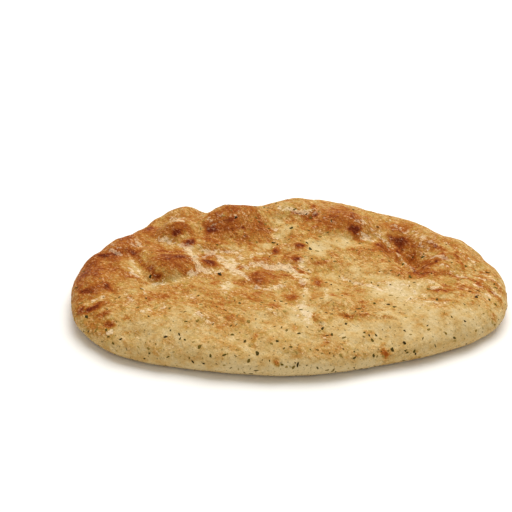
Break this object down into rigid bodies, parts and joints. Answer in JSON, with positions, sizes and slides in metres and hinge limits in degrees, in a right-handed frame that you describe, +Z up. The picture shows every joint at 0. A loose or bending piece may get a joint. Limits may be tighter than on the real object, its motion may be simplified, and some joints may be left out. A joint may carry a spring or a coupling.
{
  "type": "naan bread",
  "caption": "Plump hand-pulled oval naan with blisters, a right-hand hollow, soft folds and flakes of green herb baked into its skin, lying on a flat underside.",
  "frame": {"origin": "under the middle of the bread's bounding box, on the surface that it lies on", "axes": "+X along the long axis to the end with the hollow, +Y to the back edge, +Z up"},
  "size_m": [0.236, 0.1716, 0.0283],
  "materials": {
    "crust": "baked crust, pale cream at the sides, golden to brown on the blisters"
  },
  "bodies": {
    "root": {"naan": "crust"}
  },
  "joints": []
}
